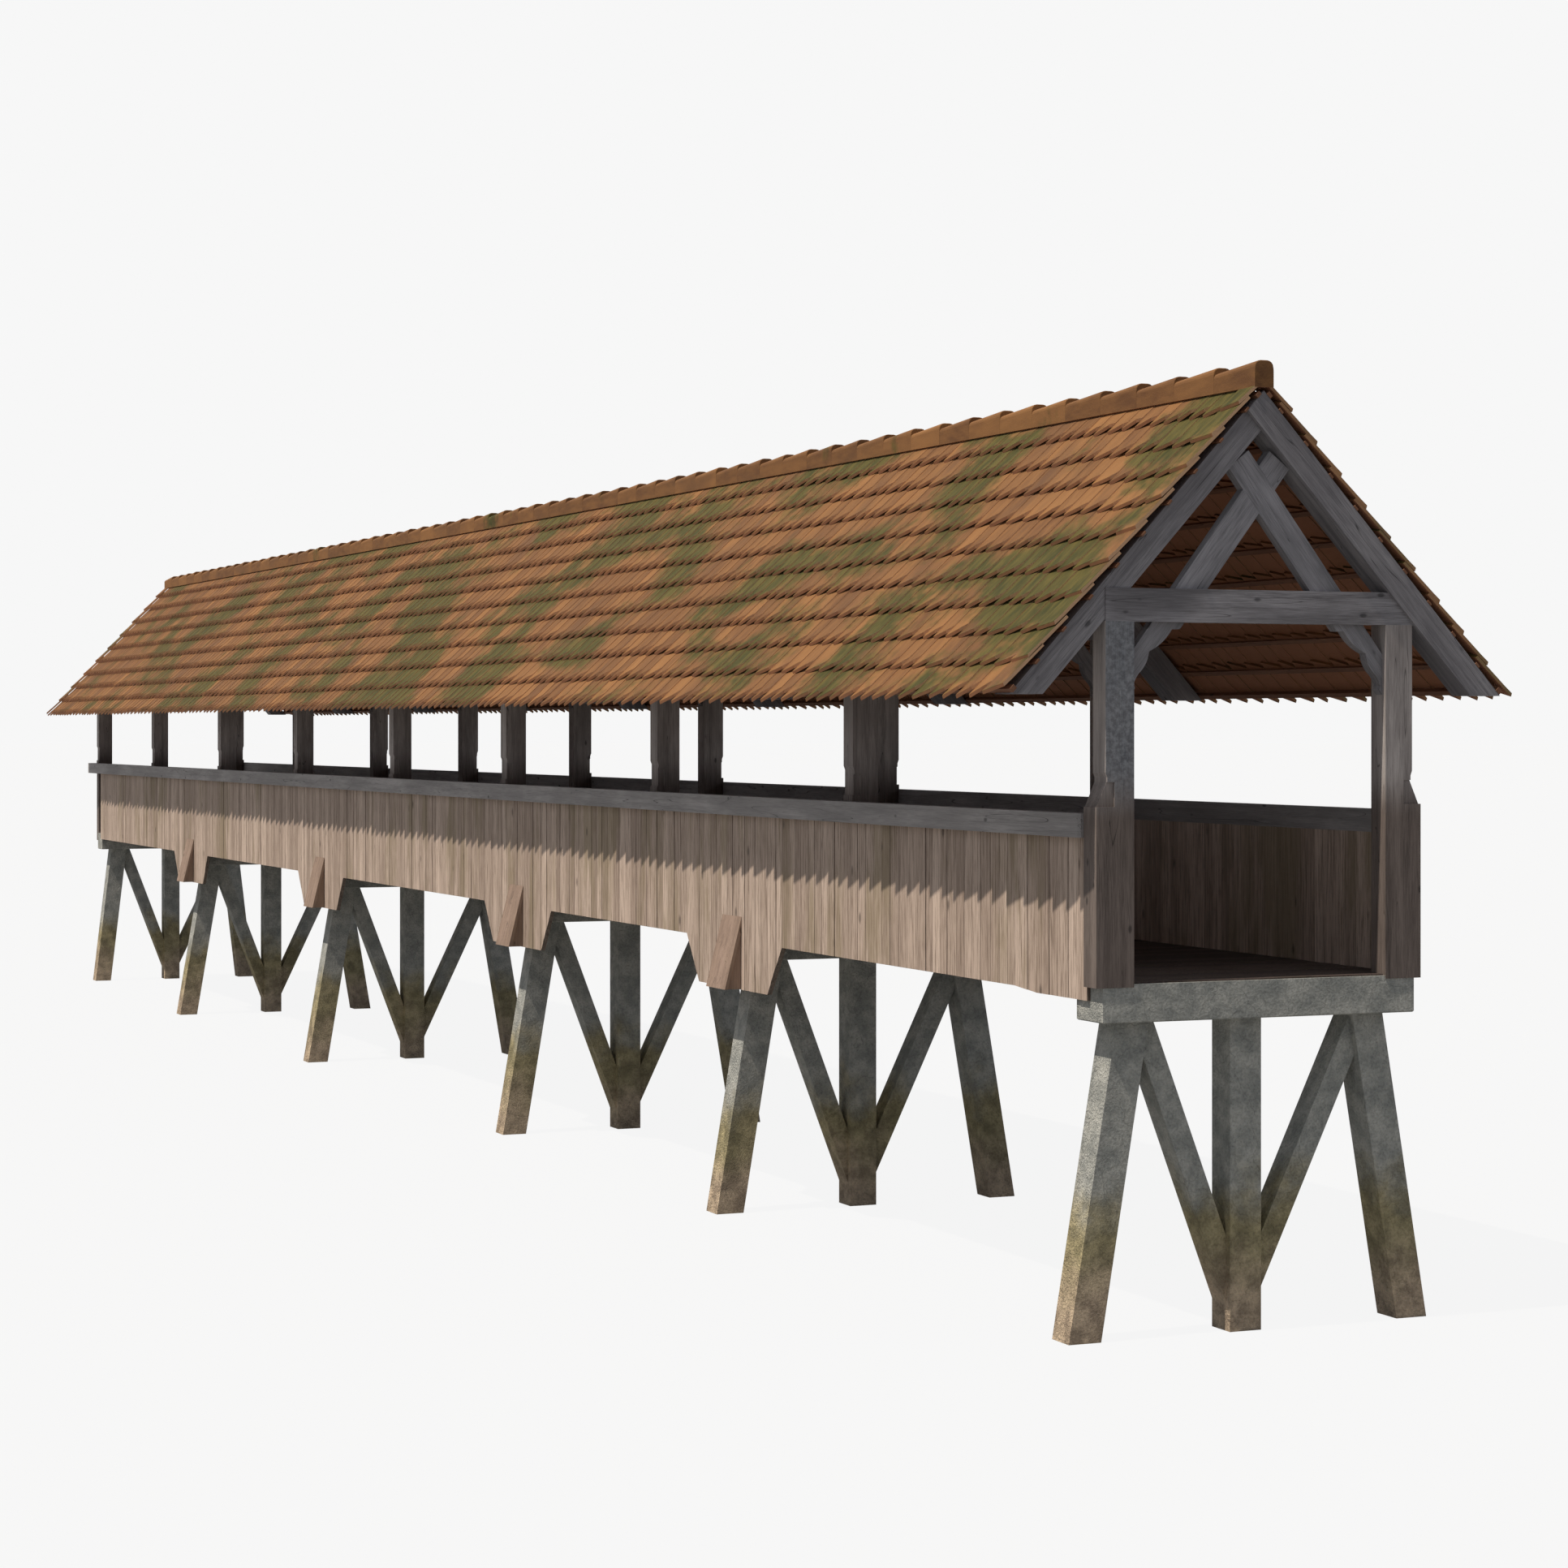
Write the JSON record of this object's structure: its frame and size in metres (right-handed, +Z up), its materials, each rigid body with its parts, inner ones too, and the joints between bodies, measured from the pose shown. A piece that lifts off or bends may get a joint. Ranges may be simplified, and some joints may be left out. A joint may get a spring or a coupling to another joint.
{
  "type": "covered footbridge",
  "caption": "Long roofed timber footbridge on braced trestles, with boarded parapets, scissor-braced frames with scalloped braces and a tiled gable roof.",
  "frame": {"origin": "middle of the bridge's overall box at ground level", "axes": "+Y along the bridge from the near gable to the far one, +X to the right seen from the near gable, +Z up"},
  "size_m": [3.9984, 34.621, 6.5556],
  "materials": {
    "frame_timber": "grey-brown weathered timber, rough, with dark grain and knots",
    "siding_boards": "pinkish grey-tan weathered boards with olive and brown streaks",
    "deck_boards": "very dark damp walking planks",
    "clay_tiles": "unglazed terracotta clay with olive moss",
    "trestle_stone": "grey-green weathered cast stone, stained brown near the ground"
  },
  "bodies": {
    "root": {"cap_1": "trestle_stone", "legs_1": "trestle_stone", "bent_braces_1": "trestle_stone", "cap_2": "trestle_stone", "legs_2": "trestle_stone", "bent_braces_2": "trestle_stone", "cap_3": "trestle_stone", "legs_3": "trestle_stone", "bent_braces_3": "trestle_stone", "cap_4": "trestle_stone", "legs_4": "trestle_stone", "bent_braces_4": "trestle_stone", "cap_5": "trestle_stone", "legs_5": "trestle_stone", "bent_braces_5": "trestle_stone", "cap_6": "trestle_stone", "legs_6": "trestle_stone", "bent_braces_6": "trestle_stone", "stringers": "frame_timber", "deck": "deck_boards", "siding_left": "siding_boards", "haunches_left": "siding_boards", "wedge_props_left": "siding_boards", "rail_left": "frame_timber", "posts_left": "frame_timber", "rafters_left": "frame_timber", "scissor_braces_left": "frame_timber", "battens_left": "frame_timber", "roof_tiles_left": "clay_tiles", "siding_right": "siding_boards", "haunches_right": "siding_boards", "wedge_props_right": "siding_boards", "rail_right": "frame_timber", "posts_right": "frame_timber", "rafters_right": "frame_timber", "scissor_braces_right": "frame_timber", "battens_right": "frame_timber", "roof_tiles_right": "clay_tiles", "tie_beams": "frame_timber", "ridge_tiles": "clay_tiles"}
  },
  "joints": []
}
